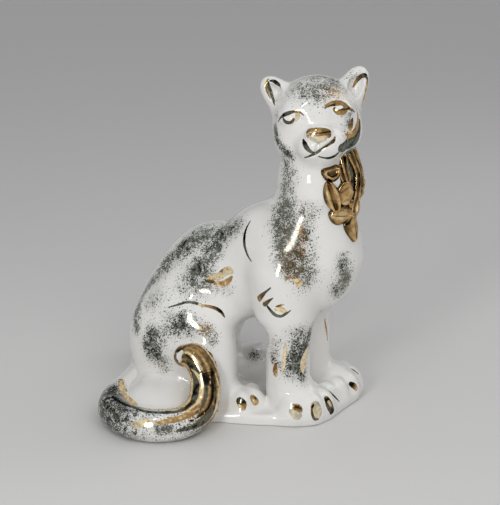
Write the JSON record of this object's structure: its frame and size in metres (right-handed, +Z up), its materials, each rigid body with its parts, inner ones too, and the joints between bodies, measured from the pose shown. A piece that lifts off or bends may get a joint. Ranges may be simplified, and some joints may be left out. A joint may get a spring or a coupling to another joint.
{
  "type": "seated cougar figurine",
  "caption": "Glazed ceramic figurine of a seated cougar on a low plinth, head turned over its right shoulder, tail curled round its haunch, with a gilded garland on the chest.",
  "frame": {"origin": "on the flat underside of the plinth, in the animal's middle plane, below its belly", "axes": "+Z up; the animal's body faces -Y and its right side is -X; the head is turned towards -X"},
  "size_m": [0.1595, 0.1653, 0.2196],
  "materials": {
    "white_glaze": "glossy clear glaze over white body, with sprayed black and gold spots and brushed lustre strokes",
    "tail_lustre": "gold lustre sponged over white glaze, solid gold on the rising end",
    "gold_lustre": "bright gold lustre fired on relief sprigs"
  },
  "bodies": {
    "root": {"plinth": "white_glaze", "body": "white_glaze", "head": "white_glaze", "right_ear": "white_glaze", "left_ear": "white_glaze", "right_foreleg": "white_glaze", "left_foreleg": "white_glaze", "right_hind_foot": "white_glaze", "left_hind_foot": "white_glaze", "tail": "tail_lustre", "garland_stem": "gold_lustre", "garland_ribbon_right": "gold_lustre", "garland_ribbon_left": "gold_lustre", "garland_bud_right": "gold_lustre", "garland_bud_left": "gold_lustre", "garland_petal_right": "gold_lustre", "garland_petal_left": "gold_lustre", "garland_leaf_right": "gold_lustre", "garland_leaf_left": "gold_lustre", "garland_lower_leaf_right": "gold_lustre", "garland_lower_leaf_left": "gold_lustre", "garland_bead_upper": "gold_lustre", "garland_bead_lower": "gold_lustre", "garland_tip_leaf": "gold_lustre"}
  },
  "joints": []
}
